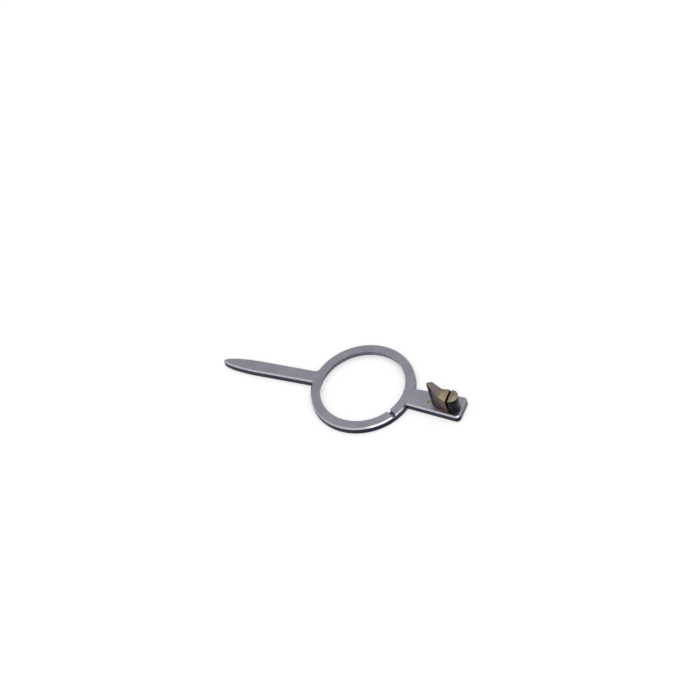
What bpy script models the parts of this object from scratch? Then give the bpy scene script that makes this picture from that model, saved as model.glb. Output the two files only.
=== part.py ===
"""A regulator index from a mechanical watch, lying on its plain face with its boot side up.

It is three pieces. The index plate is a ring with a long pointer tail and a short arm, and a
shallow saw cut crosses the ring's upper face.
The boot is a brass block with a tall beak and a screwdriver slot, whose shank turns in the arm.
The curb pin is a short brass pin pressed into the arm in front of the beak, cut off flush.
+X runs along the arm, away from the tail. The origin is under the middle of the whole part.
"""

import math

import bmesh
import bpy
from mathutils import Matrix, Vector

MM = 0.001

# Index plate
RING_RADIUS = 2.50 * MM
BORE_TOP_RADIUS = 2.03 * MM
BORE_BASE_RADIUS = 2.12 * MM
PLATE_THICKNESS = 0.345 * MM
EDGE_BEVEL = 0.065 * MM
TAIL_REACH = 7.21 * MM
TAIL_HALF_WIDTH = 0.338 * MM
TAIL_MIDDLE_Y = 0.083 * MM
TAIL_TIP_LENGTH = 1.90 * MM
TAIL_ROOT_FILLETS = (0.20 * MM, 0.06 * MM)
ARM_REACH = 5.145 * MM
ARM_ROOT_X = 2.40 * MM
ARM_ROOT_Y = (-0.552 * MM, 0.433 * MM)
ARM_END_Y = (-0.807 * MM, 0.466 * MM)
ARM_CORNER_RADIUS = 0.21 * MM
SAW_CUT_ANGLE = math.radians(-31.9)
SAW_CUT_WIDTH = 0.165 * MM
SAW_CUT_DEPTH = 0.13 * MM

# Boot, its places measured from the centre of the ring
BOOT_AXIS = Vector((4.610 * MM, -0.250 * MM))
BODY_CENTRE = Vector((4.715 * MM, -0.260 * MM))
BODY_BASE_RADIUS = 0.295 * MM
BODY_TOP_RADIUS = 0.350 * MM
BODY_HEIGHT = 0.87 * MM
BEAK_HEIGHT = 1.45 * MM
BEAK_TIP_X = (3.600 * MM, 3.620 * MM)
BEAK_TIP_Y = (-0.235 * MM, -0.140 * MM)
BEAK_SHOULDER_X = 3.850 * MM
BEAK_SHOULDER_Y = (-0.405 * MM, -0.070 * MM)
BEAK_ROOT_X = 4.175 * MM
BEAK_ROOT_Y = (-0.475 * MM, 0.045 * MM)
BEAK_END_X = 4.580 * MM
BEAK_END_Y = (-0.655 * MM, 0.090 * MM)
SLOT_WIDTH = 0.115 * MM
SLOT_NEAR_DEPTH = 0.72 * MM
SLOT_FAR_DEPTH = 0.06 * MM
SHANK_RADIUS = 0.21 * MM
SHANK_INTO_BODY = 0.10 * MM
RIVET_RADIUS = 0.28 * MM
RIVET_HEIGHT = 0.08 * MM
RIVET_RECESS = 0.02 * MM

# Curb pin
PIN_PLACE = Vector((3.455 * MM, -0.215 * MM))
PIN_RADIUS = 0.10 * MM
PIN_STANDS_PROUD = 0.008 * MM

# Fits
SEAT_GAP = 0.012 * MM
SHANK_GAP = 0.015 * MM
PIN_GAP = 0.010 * MM

CUT_PAST = 0.20 * MM
WELD = 1e-8
RING_SEGMENTS = 180
SMALL_SEGMENTS = 48

# The tail reaches further than the arm, so the ring sits beside the origin.
RING_CENTRE = Vector(((TAIL_REACH - ARM_REACH) / 2, 0.0))


def new_collection(name):
    collection = bpy.data.collections.new(name)
    bpy.context.scene.collection.children.link(collection)
    return collection


def metal(name, colour, roughness):
    material = bpy.data.materials.new(name)
    material.use_nodes = True
    shader = material.node_tree.nodes["Principled BSDF"]
    shader.inputs["Base Color"].default_value = (*colour, 1.0)
    shader.inputs["Roughness"].default_value = roughness
    shader.inputs["Metallic"].default_value = 1.0
    material.diffuse_color = (*colour, 1.0)
    return material


def new_object(name, mesh, collection, place=(0.0, 0.0, 0.0)):
    obj = bpy.data.objects.new(name, mesh)
    obj.location = place
    collection.objects.link(obj)
    return obj


def arc(centre, radius, start, end, steps):
    """Points along an arc, both ends included."""
    angles = [start + (end - start) * i / steps for i in range(steps + 1)]
    return [centre + radius * Vector((math.cos(a), math.sin(a))) for a in angles]


def rounded_corner(before, corner, after, radius, steps=12):
    """Points that round off one convex corner of an outline."""
    to_before = (before - corner).normalized()
    to_after = (after - corner).normalized()
    half = to_before.angle(to_after) / 2
    centre = corner + (to_before + to_after).normalized() * radius / math.sin(half)
    first = corner + to_before * radius / math.tan(half) - centre
    last = corner + to_after * radius / math.tan(half) - centre
    sweep = first.angle_signed(last)
    return [centre + Matrix.Rotation(-sweep * i / steps, 2) @ first for i in range(steps + 1)]


def extruded(name, outline, base, top, collection, place=(0.0, 0.0)):
    """A prism on an outline: a filled 2D curve with a thickness, made a mesh.

    The curve is laid out in millimetres, because its fill loses corners closer than 0.03 units.
    """
    curve = bpy.data.curves.new(name, "CURVE")
    curve.dimensions = "2D"
    curve.fill_mode = "BOTH"
    curve.extrude = (top - base) / 2 / MM
    spline = curve.splines.new("POLY")
    spline.points.add(len(outline) - 1)
    for point, corner in zip(spline.points, outline):
        point.co = (corner.x / MM, corner.y / MM, 0.0, 1.0)
    spline.use_cyclic_u = True
    source = bpy.data.objects.new(name, curve)
    bpy.context.scene.collection.objects.link(source)
    graph = bpy.context.evaluated_depsgraph_get()
    mesh = bpy.data.meshes.new_from_object(source.evaluated_get(graph))
    bpy.data.objects.remove(source)
    mesh.transform(Matrix.Scale(MM, 4))
    shape = bmesh.new()
    shape.from_mesh(mesh)
    bmesh.ops.remove_doubles(shape, verts=shape.verts, dist=WELD)
    bmesh.ops.dissolve_limit(
        shape, angle_limit=math.radians(0.5), verts=shape.verts, edges=shape.edges
    )
    bmesh.ops.recalc_face_normals(shape, faces=shape.faces)
    shape.to_mesh(mesh)
    shape.free()
    return new_object(name, mesh, collection, (*place, (base + top) / 2))


def turned(name, profile, collection, place, segments):
    """A turned piece: its profile, listed from top to bottom, spun about Z at a place."""
    mesh = bpy.data.meshes.new(name)
    shape = bmesh.new()
    points = [shape.verts.new((radius, 0.0, height)) for radius, height in profile]
    for upper, lower in zip(points, points[1:]):
        shape.edges.new((upper, lower))
    shape.to_mesh(mesh)
    shape.free()
    obj = new_object(name, mesh, collection, (*place, 0.0))
    screw = obj.modifiers.new("Turn", "SCREW")
    screw.steps = screw.render_steps = segments
    screw.use_merge_vertices = True
    screw.merge_threshold = WELD
    screw.use_smooth_shade = False
    return obj


def boolean(target, operation, other):
    modifier = target.modifiers.new(other.name, "BOOLEAN")
    modifier.operation = operation
    modifier.solver = "EXACT"
    modifier.object = other


def as_guide(obj):
    obj.hide_render = True
    obj.display_type = "WIRE"
    return obj


def tail_root(edge_y, side, fillet):
    """The fillet between the ring and one edge of the tail, from the ring to the tail."""
    centre_y = edge_y + side * fillet
    reach = RING_RADIUS + fillet
    centre = Vector((-math.sqrt(reach**2 - centre_y**2), centre_y))
    on_ring = math.atan2(-centre.y, -centre.x)
    on_tail = -side * math.pi / 2
    if side < 0:
        on_ring %= 2 * math.pi
    points = arc(centre, fillet, on_ring, on_tail, 8)
    ring_angle = math.atan2(centre.y, centre.x) % (2 * math.pi)
    return points, ring_angle


def index_outline():
    """The plate's outline, counter-clockwise from the arm, with the ring's centre at zero."""
    root = [Vector((ARM_ROOT_X, y)) for y in ARM_ROOT_Y]
    end = [Vector((ARM_REACH, y)) for y in ARM_END_Y]
    outline = rounded_corner(root[0], end[0], end[1], ARM_CORNER_RADIUS)
    outline += rounded_corner(end[0], end[1], root[1], ARM_CORNER_RADIUS)

    upper_fillet, lower_fillet = TAIL_ROOT_FILLETS
    upper, upper_angle = tail_root(TAIL_MIDDLE_Y + TAIL_HALF_WIDTH, 1, upper_fillet)
    lower, lower_angle = tail_root(TAIL_MIDDLE_Y - TAIL_HALF_WIDTH, -1, lower_fillet)
    arm_angles = [math.asin(y / RING_RADIUS) for y in ARM_ROOT_Y]
    ring_steps = RING_SEGMENTS // 2
    outline += arc(Vector((0, 0)), RING_RADIUS, arm_angles[1], upper_angle, ring_steps)[:-1]
    outline += upper

    tip_start = -TAIL_REACH + TAIL_TIP_LENGTH
    tip_steps = 36
    for i in range(tip_steps + 1):
        turn = math.pi / 2 + math.pi * i / tip_steps
        x = tip_start + TAIL_TIP_LENGTH * math.cos(turn)
        outline.append(Vector((x, TAIL_MIDDLE_Y + TAIL_HALF_WIDTH * math.sin(turn))))
    outline += reversed(lower)
    to_arm = arm_angles[0] + 2 * math.pi
    outline += arc(Vector((0, 0)), RING_RADIUS, lower_angle, to_arm, ring_steps)[1:]
    return outline


def bevel_top_rim(obj):
    """The polished bevel all round the upper edge of the plate."""
    shape = bmesh.new()
    shape.from_mesh(obj.data)
    top = max(vertex.co.z for vertex in shape.verts)
    rim = [
        edge
        for edge in shape.edges
        if all(abs(vertex.co.z - top) < WELD for vertex in edge.verts)
        and any(abs(face.normal.z) < 0.5 for face in edge.link_faces)
    ]
    bmesh.ops.bevel(
        shape, geom=rim, offset=EDGE_BEVEL, segments=1, affect="EDGES", clamp_overlap=False
    )
    shape.to_mesh(obj.data)
    shape.free()


def at_ring(offset):
    """A place measured from the ring's centre, in world coordinates."""
    return RING_CENTRE + offset


def bore_cutter(guides):
    """A cone that gives the bore its two radii at the plate's two faces."""
    slope = (BORE_TOP_RADIUS - BORE_BASE_RADIUS) / PLATE_THICKNESS
    profile = [
        (0.0, PLATE_THICKNESS + CUT_PAST),
        (BORE_TOP_RADIUS + slope * CUT_PAST, PLATE_THICKNESS + CUT_PAST),
        (BORE_BASE_RADIUS - slope * CUT_PAST, -CUT_PAST),
        (0.0, -CUT_PAST),
    ]
    return as_guide(turned("bore_cutter", profile, guides, RING_CENTRE, RING_SEGMENTS))


def saw_cut_cutter(guides):
    """The saw cut across the ring's upper face, which stops short of the underside."""
    length = RING_RADIUS - BORE_TOP_RADIUS + 2 * CUT_PAST
    size = (length, SAW_CUT_WIDTH, SAW_CUT_DEPTH + CUT_PAST)
    middle = (RING_RADIUS + BORE_TOP_RADIUS) / 2
    away = Vector((math.cos(SAW_CUT_ANGLE), math.sin(SAW_CUT_ANGLE)))
    bpy.ops.mesh.primitive_cube_add(size=1.0)
    cutter = bpy.context.active_object
    cutter.name = "saw_cut_cutter"
    cutter.data.transform(Matrix.Diagonal((*size, 1.0)))
    height = PLATE_THICKNESS + (CUT_PAST - SAW_CUT_DEPTH) / 2
    cutter.location = (*at_ring(middle * away), height)
    cutter.rotation_euler.z = SAW_CUT_ANGLE
    for collection in cutter.users_collection:
        collection.objects.unlink(cutter)
    guides.objects.link(cutter)
    return as_guide(cutter)


def rivet_profile(gap, top, bottom):
    """The boot's shank and the cone of its riveted end, grown by a gap."""
    slope = (RIVET_RADIUS - SHANK_RADIUS) / RIVET_HEIGHT
    end_radius = RIVET_RADIUS + gap + slope * (RIVET_RECESS - bottom)
    return [
        (0.0, top),
        (SHANK_RADIUS + gap, top),
        (SHANK_RADIUS + gap, RIVET_RECESS + RIVET_HEIGHT),
        (end_radius, bottom),
        (0.0, bottom),
    ]


def make_index_plate(parts, guides, steel):
    plate = extruded("index_plate", index_outline(), 0.0, PLATE_THICKNESS, parts, RING_CENTRE)
    bevel_top_rim(plate)
    past_top = PLATE_THICKNESS + CUT_PAST
    shank_hole = turned(
        "shank_hole_cutter",
        rivet_profile(SHANK_GAP, past_top, -CUT_PAST),
        guides,
        at_ring(BOOT_AXIS),
        SMALL_SEGMENTS,
    )
    hole_radius = PIN_RADIUS + PIN_GAP
    pin_hole = turned(
        "pin_hole_cutter",
        [(0.0, past_top), (hole_radius, past_top), (hole_radius, -CUT_PAST), (0.0, -CUT_PAST)],
        guides,
        at_ring(PIN_PLACE),
        SMALL_SEGMENTS,
    )
    boolean(plate, "DIFFERENCE", bore_cutter(guides))
    boolean(plate, "DIFFERENCE", saw_cut_cutter(guides))
    boolean(plate, "DIFFERENCE", as_guide(shank_hole))
    boolean(plate, "DIFFERENCE", as_guide(pin_hole))
    plate.data.materials.append(steel)


def beak_outline():
    """The beak's plan, counter-clockwise, with the boot's turning axis at zero.

    Its walls run from the blunt tip over the shoulders and roots, and end in the slot.
    """
    corners = [
        (BEAK_TIP_X[0], BEAK_TIP_Y[0]),
        (BEAK_SHOULDER_X, BEAK_SHOULDER_Y[0]),
        (BEAK_ROOT_X, BEAK_ROOT_Y[0]),
        (BEAK_END_X, BEAK_END_Y[0]),
        (BEAK_END_X, BEAK_END_Y[1]),
        (BEAK_ROOT_X, BEAK_ROOT_Y[1]),
        (BEAK_SHOULDER_X, BEAK_SHOULDER_Y[1]),
        (BEAK_TIP_X[1], BEAK_TIP_Y[1]),
    ]
    return [Vector(corner) - BOOT_AXIS for corner in corners]


def round_body(seat, guides):
    """The round end of the boot, a little wider at its top, made over-long to be filed flat."""
    flare = (BODY_TOP_RADIUS - BODY_BASE_RADIUS) / BODY_HEIGHT
    height = BEAK_HEIGHT
    profile = [
        (0.0, seat + height),
        (BODY_BASE_RADIUS + flare * height, seat + height),
        (BODY_BASE_RADIUS, seat),
        (0.0, seat),
    ]
    return turned("boot_body", profile, guides, at_ring(BODY_CENTRE), SMALL_SEGMENTS)


def filing_cutter(seat, place, guides):
    """What is filed away above the body: down the back of the beak, then level."""
    shoulder_x = BEAK_SHOULDER_X - BOOT_AXIS.x
    root_x = BEAK_ROOT_X - BOOT_AXIS.x
    slope = (BEAK_HEIGHT - BODY_HEIGHT) / (root_x - shoulder_x)
    clear_top = BEAK_HEIGHT + CUT_PAST
    clear_x = BODY_CENTRE.x - BOOT_AXIS.x + BODY_TOP_RADIUS + CUT_PAST
    side_view = [
        Vector((shoulder_x - CUT_PAST / slope, clear_top)),
        Vector((root_x, BODY_HEIGHT)),
        Vector((clear_x, BODY_HEIGHT)),
        Vector((clear_x, clear_top)),
    ]
    filed = extruded("filing_cutter", side_view, -1 * MM, 1 * MM, guides, place)
    filed.rotation_euler.x = math.pi / 2
    filed.location.z = seat
    return filed


def slot_cutter(seat, place, guides):
    """The screwdriver slot, whose floor rises from the near rim of the body to the far one."""
    rim = BODY_TOP_RADIUS
    rise = (SLOT_NEAR_DEPTH - SLOT_FAR_DEPTH) / (2 * rim)
    reach = rim + CUT_PAST
    clear_top = BODY_HEIGHT + CUT_PAST
    side_view = [
        Vector((-reach, BODY_HEIGHT - SLOT_NEAR_DEPTH - rise * CUT_PAST)),
        Vector((reach, BODY_HEIGHT - SLOT_FAR_DEPTH + rise * CUT_PAST)),
        Vector((reach, clear_top)),
        Vector((-reach, clear_top)),
    ]
    half = SLOT_WIDTH / 2
    slot = extruded("slot_cutter", side_view, -half, half, guides, place)
    slot.rotation_euler = (math.pi / 2, 0.0, math.pi / 2)
    slot.location.z = seat
    return as_guide(slot)


def make_boot(parts, guides, brass):
    """The boot. Its origin is on the axis that it turns about."""
    seat = PLATE_THICKNESS + SEAT_GAP
    place = at_ring(BOOT_AXIS)
    boot = extruded("boot", beak_outline(), seat, seat + BEAK_HEIGHT, parts, place)
    boot.data.materials.append(brass)
    shank = turned(
        "boot_shank",
        rivet_profile(0.0, seat + SHANK_INTO_BODY, RIVET_RECESS),
        guides,
        place,
        SMALL_SEGMENTS,
    )
    boolean(boot, "UNION", as_guide(round_body(seat, guides)))
    boolean(boot, "DIFFERENCE", as_guide(filing_cutter(seat, place, guides)))
    boolean(boot, "UNION", as_guide(shank))
    boolean(boot, "DIFFERENCE", slot_cutter(seat, place, guides))


def make_curb_pin(parts, brass):
    top = PLATE_THICKNESS + PIN_STANDS_PROUD
    dome = PIN_STANDS_PROUD * 0.6
    profile = [
        (0.0, top),
        (PIN_RADIUS * 0.6, top),
        (PIN_RADIUS, top - dome),
        (PIN_RADIUS, RIVET_RECESS),
        (0.0, RIVET_RECESS),
    ]
    pin = turned("curb_pin", profile, parts, at_ring(PIN_PLACE), SMALL_SEGMENTS)
    pin.data.materials.append(brass)


def main():
    for obj in list(bpy.data.objects):
        bpy.data.objects.remove(obj, do_unlink=True)
    parts = new_collection("regulator_index")
    guides = new_collection("cutters")
    steel = metal("index_steel", (0.42, 0.40, 0.43), 0.35)
    boot_brass = metal("boot_brass", (0.42, 0.33, 0.19), 0.42)
    pin_brass = metal("pin_brass", (0.52, 0.40, 0.22), 0.40)
    make_index_plate(parts, guides, steel)
    make_boot(parts, guides, boot_brass)
    make_curb_pin(parts, pin_brass)


main()
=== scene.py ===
import math

import bmesh
import bpy
from mathutils import Matrix, Vector


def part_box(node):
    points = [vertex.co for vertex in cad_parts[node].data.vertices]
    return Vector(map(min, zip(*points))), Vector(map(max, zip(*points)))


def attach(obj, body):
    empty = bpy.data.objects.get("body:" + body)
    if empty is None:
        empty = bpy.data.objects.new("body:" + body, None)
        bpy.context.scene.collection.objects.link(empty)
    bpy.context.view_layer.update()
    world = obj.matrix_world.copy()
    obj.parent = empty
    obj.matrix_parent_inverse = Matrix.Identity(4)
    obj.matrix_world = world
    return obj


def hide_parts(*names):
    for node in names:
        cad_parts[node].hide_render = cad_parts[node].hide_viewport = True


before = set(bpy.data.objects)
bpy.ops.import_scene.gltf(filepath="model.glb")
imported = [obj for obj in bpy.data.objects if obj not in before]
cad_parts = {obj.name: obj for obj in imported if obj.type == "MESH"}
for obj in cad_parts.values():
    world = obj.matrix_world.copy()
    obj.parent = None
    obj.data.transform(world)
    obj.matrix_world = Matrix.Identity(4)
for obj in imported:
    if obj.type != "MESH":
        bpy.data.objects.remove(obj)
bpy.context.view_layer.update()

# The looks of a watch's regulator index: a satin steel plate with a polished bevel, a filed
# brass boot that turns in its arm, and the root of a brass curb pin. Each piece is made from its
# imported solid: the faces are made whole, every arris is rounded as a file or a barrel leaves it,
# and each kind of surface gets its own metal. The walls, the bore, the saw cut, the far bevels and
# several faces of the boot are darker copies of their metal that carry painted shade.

MM = 0.001

# Heights over the floor, and places in plan, in millimetres in the frame's own axes
PLATE_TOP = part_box("index_plate")[1].z / MM
BEAK_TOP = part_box("boot")[1].z / MM
BEAK_OVER_BODY = 0.58
BODY_TOP = BEAK_TOP - BEAK_OVER_BODY
RING_CENTRE = Vector((1.0325, 0.0))
BORE_REACH = 2.2
BOOT_AXIS = Vector((5.6425, -0.25))
SLOT_HALF_WIDTH = 0.0575
BEAK_SHOULDER = 4.9
PIN_PLACE = Vector((4.4875, -0.215))
SAW_CUT_TOWARDS = math.radians(-31.9)
SAW_CUT_REACH = 0.0865
SAW_CUT_DEPTH = 0.13

# The pin is drawn a little wider than its solid, so that it fills its hole as a pressed pin does
PIN_FILLS = 1.09

# How a face's direction sorts it: level faces, faces that lean back, and those turned from -Y
LEVEL = 0.97
LEANS_BACK = 0.25
TURNED_AWAY = -0.05
SLOPE_TOWARDS_END = 0.6
SLOPE_UPWARDS = 0.3
BEAK_END_TURNED = -0.4

# How far inside a surface a face's middle must lie to belong to it
SKIN = 0.002
UNDER_ARRIS = 0.02
UNDER_FLOOR = 0.005
SLOT_MOUTH = 0.01
SLOT_SKIN = 0.001
TIP_OVER_BODY = 0.1

# How far each kind of arris is rounded off, in millimetres
PLATE_ARRIS = 0.011
BOOT_ARRIS = 0.014
PIN_ARRIS = 0.004
SAME_POINT = 1e-4
FLAT_WITHIN = math.radians(0.4)
ARRIS_OVER = math.radians(24)

# Camera: it looks at the top of the ring's centre from this side, and is rolled clockwise
CAMERA_AZIMUTH = math.radians(35.2)
CAMERA_ELEVATION = math.radians(50.15)
CAMERA_ROLL = math.radians(18.17)
CAMERA_DISTANCE = 200 * MM
CAMERA_LENS = 220.6
AIM_RIGHT = -0.586 * MM
AIM_UP = 1.692 * MM


# ---- node helpers ----

def new_material(name, colour, metallic, roughness):
    """A material with a Principled shader. Returns it with its tree and shader."""
    material = bpy.data.materials.new(name)
    material.use_nodes = True
    tree = material.node_tree
    shader = tree.nodes["Principled BSDF"]
    shader.inputs["Base Color"].default_value = (*colour, 1.0)
    shader.inputs["Metallic"].default_value = metallic
    shader.inputs["Roughness"].default_value = roughness
    return material, tree, shader


def add_node(tree, kind, links=None, values=None, **settings):
    """A shader node. Links are by input name or number, and so are values."""
    made = tree.nodes.new("ShaderNode" + kind)
    for key, value in settings.items():
        setattr(made, key, value)
    for key, value in (values or {}).items():
        made.inputs[key].default_value = value
    for key, socket in (links or {}).items():
        tree.links.new(socket, made.inputs[key])
    return made


def in_mm(tree, stretch=(1.0, 1.0, 1.0), turn=(0.0, 0.0, 0.0)):
    """The object's own coordinates in millimetres, stretched for grain that runs one way."""
    place = add_node(tree, "TexCoord")
    scale = tuple(s / MM for s in stretch)
    mapping = add_node(
        tree, "Mapping", {"Vector": place.outputs["Object"]}, {"Scale": scale, "Rotation": turn}
    )
    return mapping.outputs["Vector"]


def noise(tree, vector, scale, detail=3.0, roughness=0.55, distortion=0.0):
    values = {"Scale": scale, "Detail": detail, "Roughness": roughness, "Distortion": distortion}
    return add_node(tree, "TexNoise", {"Vector": vector}, values).outputs["Fac"]


def ramp(tree, factor, low, high, to_low=0.0, to_high=1.0):
    """A factor's stretch from low to high, spread over another range and held past its ends."""
    values = {"From Min": low, "From Max": high, "To Min": to_low, "To Max": to_high}
    return add_node(tree, "MapRange", {"Value": factor}, values).outputs["Result"]


def mixed(tree, factor, first, second, blend="MIX"):
    """Two colours, each a socket or an RGB value, mixed by a factor."""
    mix = add_node(tree, "Mix", {"Factor": factor}, data_type="RGBA", blend_type=blend)
    for index, colour in ((6, first), (7, second)):
        if isinstance(colour, bpy.types.NodeSocket):
            tree.links.new(colour, mix.inputs[index])
        else:
            mix.inputs[index].default_value = (*colour, 1.0)
    return mix.outputs[2]


def bumped(tree, shader, height, depth_mm, strength=1.0, under=None):
    """Bump of a real depth. It lies over another bump if one is given."""
    links = {"Height": height}
    if under is not None:
        links["Normal"] = under
    values = {"Distance": depth_mm * MM, "Strength": strength}
    bump = add_node(tree, "Bump", links, values).outputs["Normal"]
    tree.links.new(bump, shader.inputs["Normal"])
    return bump


# ---- steel ----

def satin_steel():
    """The upper face: fine grain along the length, a little cloudy, with stray hairlines."""
    material, tree, shader = new_material("satin_steel", (0.255, 0.248, 0.29), 1.0, 0.34)
    cloud = noise(tree, in_mm(tree), 0.9, 4.0, 0.6)
    grain = noise(tree, in_mm(tree, (3.0, 70.0, 20.0)), 1.0, 3.0, 0.6)
    specks = noise(tree, in_mm(tree), 26.0, 2.0, 0.7)
    hairs = noise(tree, in_mm(tree, (1.2, 46.0, 8.0), (0.0, 0.0, 0.55)), 1.0, 1.0, 0.4)
    pale = mixed(tree, ramp(tree, cloud, 0.35, 0.68), (0.225, 0.218, 0.258), (0.285, 0.275, 0.32))
    grained = mixed(tree, ramp(tree, grain, 0.3, 0.75, 0.0, 0.35), pale, (0.34, 0.33, 0.37))
    speckled = mixed(tree, ramp(tree, specks, 0.66, 0.8, 0.0, 0.35), grained, (0.15, 0.147, 0.165))
    tree.links.new(speckled, shader.inputs["Base Color"])
    rough = ramp(tree, noise(tree, in_mm(tree), 3.2, 4.0), 0.3, 0.7, 0.29, 0.41)
    tree.links.new(rough, shader.inputs["Roughness"])
    lined = bumped(tree, shader, grain, 0.0016)
    bumped(tree, shader, ramp(tree, hairs, 0.66, 0.74), 0.0007, 0.6, lined)
    return material


def polished_steel(name, dark, light):
    """The bevel and the arrises: near mirror, with the faint waves of hand polishing."""
    material, tree, shader = new_material(name, light, 1.0, 0.16)
    cloud = noise(tree, in_mm(tree), 1.6, 3.0)
    tint = mixed(tree, ramp(tree, cloud, 0.35, 0.7), dark, light)
    tree.links.new(tint, shader.inputs["Base Color"])
    rough = ramp(tree, noise(tree, in_mm(tree), 7.0, 4.0), 0.3, 0.75, 0.13, 0.24)
    tree.links.new(rough, shader.inputs["Roughness"])
    bumped(tree, shader, noise(tree, in_mm(tree), 5.0, 2.0), 0.0015, 0.5)
    return material


def side_steel(name, dark, light, roughness):
    """A side wall as the press left it: upright drag marks, darker where oil has dried. Its
    colours are painted dark by the caller, as painted shade.
    """
    material, tree, shader = new_material(name, dark, 1.0, roughness)
    drag = noise(tree, in_mm(tree, (34.0, 34.0, 2.5)), 1.0, 3.0, 0.6)
    patches = noise(tree, in_mm(tree), 2.4, 4.0, 0.65)
    tint = mixed(tree, ramp(tree, patches, 0.38, 0.72), dark, light)
    marked = mixed(tree, ramp(tree, drag, 0.55, 0.8, 0.0, 0.5), tint, light)
    tree.links.new(marked, shader.inputs["Base Color"])
    rough = ramp(tree, drag, 0.3, 0.7, roughness - 0.08, roughness + 0.1)
    tree.links.new(rough, shader.inputs["Roughness"])
    bumped(tree, shader, drag, 0.003, 0.8)
    return material


def underside_steel():
    """The plain underside, stoned flat in one direction."""
    material, tree, shader = new_material("underside_steel", (0.3, 0.295, 0.33), 1.0, 0.42)
    grain = noise(tree, in_mm(tree, (2.0, 44.0, 10.0)), 1.0, 4.0, 0.6)
    patches = noise(tree, in_mm(tree), 1.3, 4.0)
    tint = mixed(tree, ramp(tree, patches, 0.35, 0.7), (0.25, 0.245, 0.28), (0.36, 0.35, 0.39))
    tree.links.new(tint, shader.inputs["Base Color"])
    bumped(tree, shader, grain, 0.003)
    return material


# ---- brass ----

def brass(name, dark, light, roughness, marks=(20.0, 20.0, 20.0), depth=0.003):
    """Filed brass with cloudy tarnish. The marks run along the axis with the smallest number."""
    material, tree, shader = new_material(name, light, 1.0, roughness)
    patches = noise(tree, in_mm(tree), 4.5, 5.0, 0.65, 0.4)
    filed = noise(tree, in_mm(tree, marks), 1.0, 3.0, 0.6)
    grit = noise(tree, in_mm(tree), 38.0, 2.0, 0.7)
    tint = mixed(tree, ramp(tree, patches, 0.34, 0.66), dark, light)
    lit = mixed(tree, ramp(tree, filed, 0.5, 0.85, 0.0, 0.45), tint, [c * 1.3 for c in light])
    stained = mixed(tree, ramp(tree, grit, 0.6, 0.8, 0.0, 0.6), lit, dark)
    tree.links.new(stained, shader.inputs["Base Color"])
    rough = ramp(tree, patches, 0.3, 0.7, roughness - 0.07, roughness + 0.12)
    tree.links.new(rough, shader.inputs["Roughness"])
    lined = bumped(tree, shader, filed, depth)
    bumped(tree, shader, grit, 0.0012, 0.6, lined)
    return material


# ---- meshes ----

def whole_faces(node):
    """A CAD node's mesh in millimetres, its triangles merged into whole flat faces."""
    shape = bmesh.new()
    shape.from_mesh(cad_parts[node].data)
    bmesh.ops.transform(shape, matrix=Matrix.Scale(1 / MM, 4), verts=shape.verts)
    bmesh.ops.remove_doubles(shape, verts=shape.verts, dist=SAME_POINT)
    bmesh.ops.dissolve_limit(
        shape, angle_limit=FLAT_WITHIN, verts=shape.verts, edges=shape.edges
    )
    bmesh.ops.recalc_face_normals(shape, faces=shape.faces)
    return shape


def round_arrises(shape, width, segments):
    """Rounds off every edge where two faces meet at a clear angle."""
    sharp = [e for e in shape.edges if len(e.link_faces) == 2 and e.calc_face_angle() > ARRIS_OVER]
    bmesh.ops.bevel(
        shape,
        geom=sharp,
        offset=width,
        segments=segments,
        profile=0.5,
        affect="EDGES",
        clamp_overlap=True,
        loop_slide=False,
    )


def finished(shape, name, node, body, kinds, kind_of):
    """Gives each face its metal, and puts the mesh in place of its CAD node."""
    names = list(kinds)
    shape.normal_update()
    for face in shape.faces:
        face.material_index = names.index(kind_of(face.calc_center_median(), face.normal))
        face.smooth = True
    bmesh.ops.transform(shape, matrix=Matrix.Scale(MM, 4), verts=shape.verts)
    mesh = bpy.data.meshes.new(name)
    shape.to_mesh(mesh)
    shape.free()
    for kind in names:
        mesh.materials.append(kinds[kind])
    obj = bpy.data.objects.new(name, mesh)
    bpy.context.scene.collection.objects.link(obj)
    weighted = obj.modifiers.new("Flat faces lead", "WEIGHTED_NORMAL")
    weighted.mode = "FACE_AREA"
    weighted.weight = 100
    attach(obj, body)
    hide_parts(node)
    return obj


def in_saw_cut(place):
    """True for a place on the walls or the floor of the cut across the ring's upper face."""
    out = Vector((place.x, place.y)) - RING_CENTRE
    along = Vector((math.cos(SAW_CUT_TOWARDS), math.sin(SAW_CUT_TOWARDS)))
    beside = out.dot(along) > 0 and abs(out.cross(along)) < SAW_CUT_REACH
    floor = PLATE_TOP - SAW_CUT_DEPTH - UNDER_FLOOR
    return beside and floor < place.z < PLATE_TOP - UNDER_ARRIS


def plate_kind(centre, normal):
    """Which metal a face of the plate shows. The walls, the bore, the saw cut and the far bevels
    take dark copies of the steel as painted shade.
    """
    plan = Vector((centre.x, centre.y))
    if normal.z > LEVEL and centre.z > PLATE_TOP - SKIN:
        return "face"
    if normal.z < -LEVEL:
        return "underside"
    if in_saw_cut(centre):
        return "saw_cut"
    if normal.z > LEANS_BACK:
        return "shaded_far_bevel" if normal.y > TURNED_AWAY else "bevel"
    if (plan - RING_CENTRE).length < BORE_REACH:
        return "bore"
    return "painted_lighter_side" if normal.y > TURNED_AWAY else "side"


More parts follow.
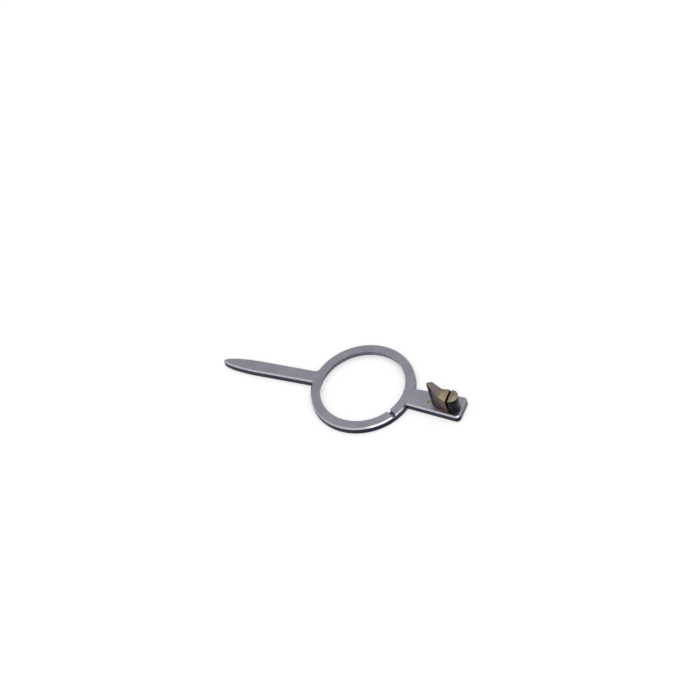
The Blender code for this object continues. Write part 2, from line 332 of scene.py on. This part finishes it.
def make_plate():
    kinds = {
        "face": satin_steel(),
        "bevel": polished_steel("polished_steel", (0.56, 0.55, 0.61), (0.67, 0.655, 0.72)),
        # Bevels turned away from -Y get a darker copy of the polished steel: painted shade.
        "shaded_far_bevel": polished_steel("shaded_far_bevel", (0.33, 0.325, 0.37), (0.42, 0.41, 0.46)),
        # Outer walls are painted dark as painted shade: near black where they face -Y, a little
        # lighter where they are turned away from -Y.
        "side": side_steel("side_steel", (0.012, 0.012, 0.03), (0.034, 0.033, 0.066), 0.42),
        "painted_lighter_side": side_steel("painted_lighter_side", (0.068, 0.066, 0.085), (0.1, 0.098, 0.12), 0.36),
        # The bore's wall is painted dark steel: painted shade.
        "bore": side_steel("bore_steel", (0.085, 0.088, 0.113), (0.155, 0.156, 0.195), 0.4),
        # The cut's walls and floor are painted dark steel: painted shade in the narrow groove.
        "saw_cut": side_steel("saw_cut_steel", (0.07, 0.068, 0.08), (0.11, 0.107, 0.122), 0.42),
        "underside": underside_steel(),
    }
    shape = whole_faces("index_plate")
    round_arrises(shape, PLATE_ARRIS, 2)
    return finished(shape, "plate_steel", "index_plate", "index", kinds, plate_kind)


def boot_kind(centre, normal):
    """Which brass a face of the boot shows. The slot, the beak's sides and end and the round side
    take darker copies of the brass as painted shade.
    """
    if centre.z < PLATE_TOP:
        return "shank"
    in_slot = abs(centre.x - BOOT_AXIS.x) < SLOT_HALF_WIDTH + SLOT_SKIN
    if in_slot and centre.z < BODY_TOP - SLOT_MOUTH:
        return "slot"
    if normal.z > LEVEL:
        if centre.z > BODY_TOP + TIP_OVER_BODY:
            return "tip"
        return "land_by_beak" if centre.x < BOOT_AXIS.x else "land_by_end"
    climbs_beak = normal.x > SLOPE_TOWARDS_END and normal.z > SLOPE_UPWARDS
    if climbs_beak and centre.x < BOOT_AXIS.x - SLOT_HALF_WIDTH:
        return "slope"
    if normal.z > LEANS_BACK:
        return "leaning_back"
    if centre.x > BOOT_AXIS.x:
        return "round_side"
    at_beak_end = normal.x < BEAK_END_TURNED and centre.x < BEAK_SHOULDER
    return "beak_end" if at_beak_end else "beak_side"


def make_boot():
    kinds = {
        "tip": brass("brass_tip", (0.14, 0.125, 0.11), (0.25, 0.235, 0.215), 0.4),
        "slope": brass("brass_slope", (0.17, 0.135, 0.135), (0.27, 0.22, 0.225), 0.38, (4, 40, 4)),
        "land_by_beak": brass("brass_land_a", (0.21, 0.165, 0.1), (0.29, 0.24, 0.15), 0.36),
        "land_by_end": brass("brass_land_b", (0.21, 0.165, 0.12), (0.3, 0.245, 0.185), 0.36),
        # Faces that lean back get a lighter copy of the brass.
        "leaning_back": brass("brass_leaning_back", (0.22, 0.175, 0.11), (0.36, 0.3, 0.21), 0.34),
        # The slot's dark brown is painted shade, with a warm painted bounce from its brass walls.
        "slot": brass("brass_slot", (0.05, 0.028, 0.014), (0.09, 0.055, 0.028), 0.5),
        # The beak's sides are a darker copy of the brass: painted shade.
        "beak_side": brass("brass_beak", (0.08, 0.055, 0.05), (0.16, 0.115, 0.105), 0.42),
        # The beak's end is painted near black: painted shade on a face turned away.
        "beak_end": brass("brass_beak_end", (0.014, 0.011, 0.01), (0.026, 0.02, 0.019), 0.45),
        # The round side is painted near black with a bluish cast: painted shade and a painted dark
        # reflection.
        "round_side": brass(
            "brass_round", (0.004, 0.004, 0.007), (0.014, 0.013, 0.018), 0.34, (2, 2, 50)
        ),
        "shank": brass("brass_shank", (0.3, 0.22, 0.1), (0.55, 0.42, 0.2), 0.35),
    }
    shape = whole_faces("boot")
    round_arrises(shape, BOOT_ARRIS, 3)
    return finished(shape, "boot_brass", "boot", "boot", kinds, boot_kind)


def pin_kind(_centre, normal):
    """Which brass a face of the pin shows."""
    return "cut_end" if normal.z > LEANS_BACK else "wall"


def make_pin():
    kinds = {
        "cut_end": brass("brass_pin", (0.19, 0.15, 0.11), (0.29, 0.235, 0.175), 0.42),
        "wall": brass("brass_pin_wall", (0.3, 0.22, 0.1), (0.5, 0.38, 0.18), 0.4),
    }
    shape = whole_faces("curb_pin")
    about = Matrix.Translation((*PIN_PLACE, 0.0))
    widened = Matrix.Diagonal((PIN_FILLS, PIN_FILLS, 1.0, 1.0))
    in_plan = about @ widened @ about.inverted()
    bmesh.ops.transform(shape, matrix=in_plan, verts=shape.verts)
    round_arrises(shape, PIN_ARRIS, 2)
    return finished(shape, "curb_pin_brass", "curb_pin", "index", kinds, pin_kind)


# ---- setting ----

def make_floor():
    """A pale card that the part lies on, lit a little from below, as on a light table."""
    bpy.ops.mesh.primitive_circle_add(vertices=96, radius=1.2, fill_type="NGON")
    floor = bpy.context.active_object
    floor.name = "floor"
    floor.location.z = -0.004 * MM
    material, tree, shader = new_material("floor_card", (0.6, 0.6, 0.6), 0.0, 0.85)
    cloud = noise(tree, in_mm(tree), 0.02, 3.0)
    tint = mixed(tree, ramp(tree, cloud, 0.3, 0.7), (0.59, 0.59, 0.592), (0.61, 0.61, 0.612))
    tree.links.new(tint, shader.inputs["Base Color"])
    shader.inputs["Specular IOR Level"].default_value = 0.15
    shader.inputs["Emission Color"].default_value = (1.0, 1.0, 1.0, 1.0)
    shader.inputs["Emission Strength"].default_value = 0.4
    floor.data.materials.append(material)


def direction(azimuth, elevation):
    """A unit vector towards a place round the part. Azimuth 0 is -Y, and 90 is +X."""
    a = math.radians(azimuth)
    e = math.radians(elevation)
    return Vector((math.sin(a) * math.cos(e), -math.cos(a) * math.cos(e), math.sin(e)))


def softbox(name, azimuth, elevation, distance, size, radiance):
    """A square soft light that faces the part. Radiance is its brightness as it is seen."""
    data = bpy.data.lights.new(name, "AREA")
    data.shape = "SQUARE"
    data.size = size
    data.energy = radiance * math.pi * size**2
    lamp = bpy.data.objects.new(name, data)
    towards = direction(azimuth, elevation)
    lamp.location = towards * distance
    lamp.rotation_euler = (-towards).to_track_quat("-Z", "Y").to_euler()
    bpy.context.scene.collection.objects.link(lamp)


def make_world():
    """Even, pale studio walls, a little dimmer behind the part than in front of it."""
    world = bpy.data.worlds.new("studio")
    bpy.context.scene.world = world
    world.use_nodes = True
    tree = world.node_tree
    place = add_node(tree, "TexCoord")
    front = tuple(direction(50, 0))
    dot = add_node(
        tree, "VectorMath", {0: place.outputs["Generated"]}, {1: front}, operation="DOT_PRODUCT"
    )
    level = ramp(tree, dot.outputs["Value"], -1.0, 1.0, 0.45, 1.0)
    background = tree.nodes["Background"]
    tree.links.new(level, background.inputs["Strength"])
    background.inputs["Color"].default_value = (1.0, 1.0, 1.0, 1.0)


def make_camera():
    data = bpy.data.cameras.new("camera")
    data.lens = CAMERA_LENS
    data.clip_start = 1 * MM
    data.clip_end = 10.0
    camera = bpy.data.objects.new("camera", data)
    bpy.context.scene.collection.objects.link(camera)
    bpy.context.scene.camera = camera
    flat = math.cos(CAMERA_ELEVATION)
    back = Vector((math.sin(CAMERA_AZIMUTH) * flat, -math.cos(CAMERA_AZIMUTH) * flat, 0.0))
    back.z = math.sin(CAMERA_ELEVATION)
    centre = Vector((RING_CENTRE.x, RING_CENTRE.y, PLATE_TOP)) * MM
    place = centre + back * CAMERA_DISTANCE
    roll = Matrix.Rotation(-CAMERA_ROLL, 3, back)
    right = roll @ Vector((math.cos(CAMERA_AZIMUTH), math.sin(CAMERA_AZIMUTH), 0.0))
    up = back.cross(right)
    aim = centre + right * AIM_RIGHT + up * AIM_UP
    look = (place - aim).normalized()
    right = up.cross(look).normalized()
    up = look.cross(right)
    turn = Matrix((right, up, look)).transposed()
    camera.matrix_world = Matrix.Translation(place) @ turn.to_4x4()


def main():
    make_plate()
    make_boot()
    make_pin()
    make_floor()
    make_world()
    softbox("key", 50, 40, 0.75, 0.6, 0.85)
    softbox("overhead", -130, 82, 0.9, 0.9, 1.2)
    make_camera()
    bpy.context.scene.view_settings.view_transform = "Standard"


main()
